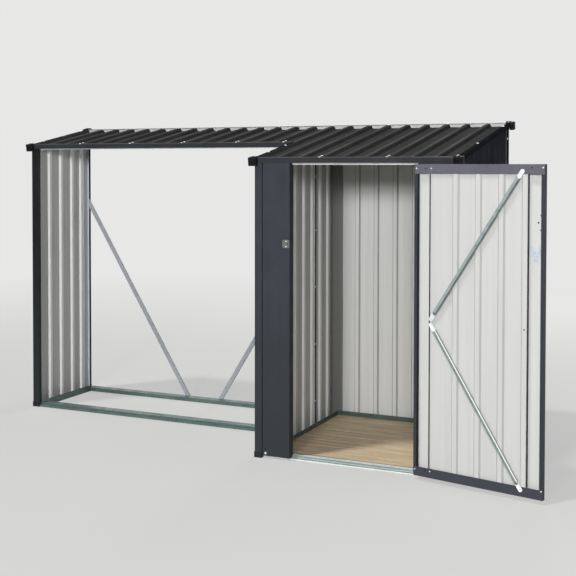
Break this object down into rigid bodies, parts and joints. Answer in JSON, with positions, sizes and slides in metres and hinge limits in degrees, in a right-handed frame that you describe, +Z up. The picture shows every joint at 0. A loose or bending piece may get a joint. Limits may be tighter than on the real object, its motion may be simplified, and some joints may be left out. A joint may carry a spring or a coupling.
{
  "type": "log store with tool cupboard",
  "caption": "Open-fronted metal log bay beside a closed tool cupboard under one ribbed pent roof, with folded corner posts, slanting rear struts and a braced hinged door.",
  "frame": {"origin": "at ground level, under the middle of the tool cupboard", "axes": "+X to the right seen from the front, +Y to the back, +Z up"},
  "size_m": [2.8025, 1.0843, 1.4845],
  "materials": {
    "frame_paint": "anthracite paint, satin",
    "roof_trim": "anthracite paint, satin",
    "roof_sheet": "anthracite paint above, pale primer below",
    "wall_sheet": "anthracite paint outside, pale primer inside",
    "door_sheet": "pale primer inside, anthracite paint outside",
    "door_stile": "anthracite paint outside and on the edges, pale primer on the back of the face",
    "galvanised_frame": "galvanised, dull",
    "zinc_fittings": "zinc plated",
    "black_plastic": "moulded, matt",
    "floor_boards": "planed softwood boards"
  },
  "bodies": {
    "store": {"base_rail_left": "galvanised_frame", "base_rail_log_left": "galvanised_frame", "base_rail_rear": "galvanised_frame", "base_rail_right": "galvanised_frame", "corner_caps": "black_plastic", "cupboard_floor": "floor_boards", "door_header": "galvanised_frame", "door_sill": "galvanised_frame", "front_panel_left": "frame_paint", "front_panel_right": "frame_paint", "hinges_fixed": "zinc_fittings", "latch_plate": "zinc_fittings", "log_header": "galvanised_frame", "log_rear_sill": "galvanised_frame", "log_sill": "galvanised_frame", "post_front_left": "frame_paint", "post_front_right": "frame_paint", "post_log_front": "frame_paint", "post_log_rear": "frame_paint", "post_rear_left": "frame_paint", "post_rear_right": "frame_paint", "post_shoes": "black_plastic", "rear_beam": "galvanised_frame", "rear_beam_log": "galvanised_frame", "rear_braces": "galvanised_frame", "roof_cupboard": "roof_sheet", "roof_log": "roof_sheet", "trim_front": "roof_trim", "trim_log_front": "roof_trim", "trim_rear": "roof_trim", "trims_verge": "roof_trim", "wall_left_front": "wall_sheet", "wall_left_rear": "wall_sheet", "wall_log_left": "wall_sheet", "wall_rear": "wall_sheet", "wall_right_front": "wall_sheet", "wall_right_rear": "wall_sheet", "wall_top_angles": "galvanised_frame"},
    "door": {"door_brace_lower": "galvanised_frame", "door_brace_upper": "galvanised_frame", "door_catch": "zinc_fittings", "door_panel": "door_sheet", "door_rail_bottom": "frame_paint", "door_rail_top": "frame_paint", "door_stile_free": "door_stile", "door_stile_hinge": "door_stile", "hinges_door": "zinc_fittings"}
  },
  "joints": [
    {"name": "door_hinge", "type": "hinge", "parent": "store", "child": "door", "pos_m": [0.282, -0.455, 0.65], "axis": [0, 0, 1], "range_deg": [-167, 5]}
  ]
}
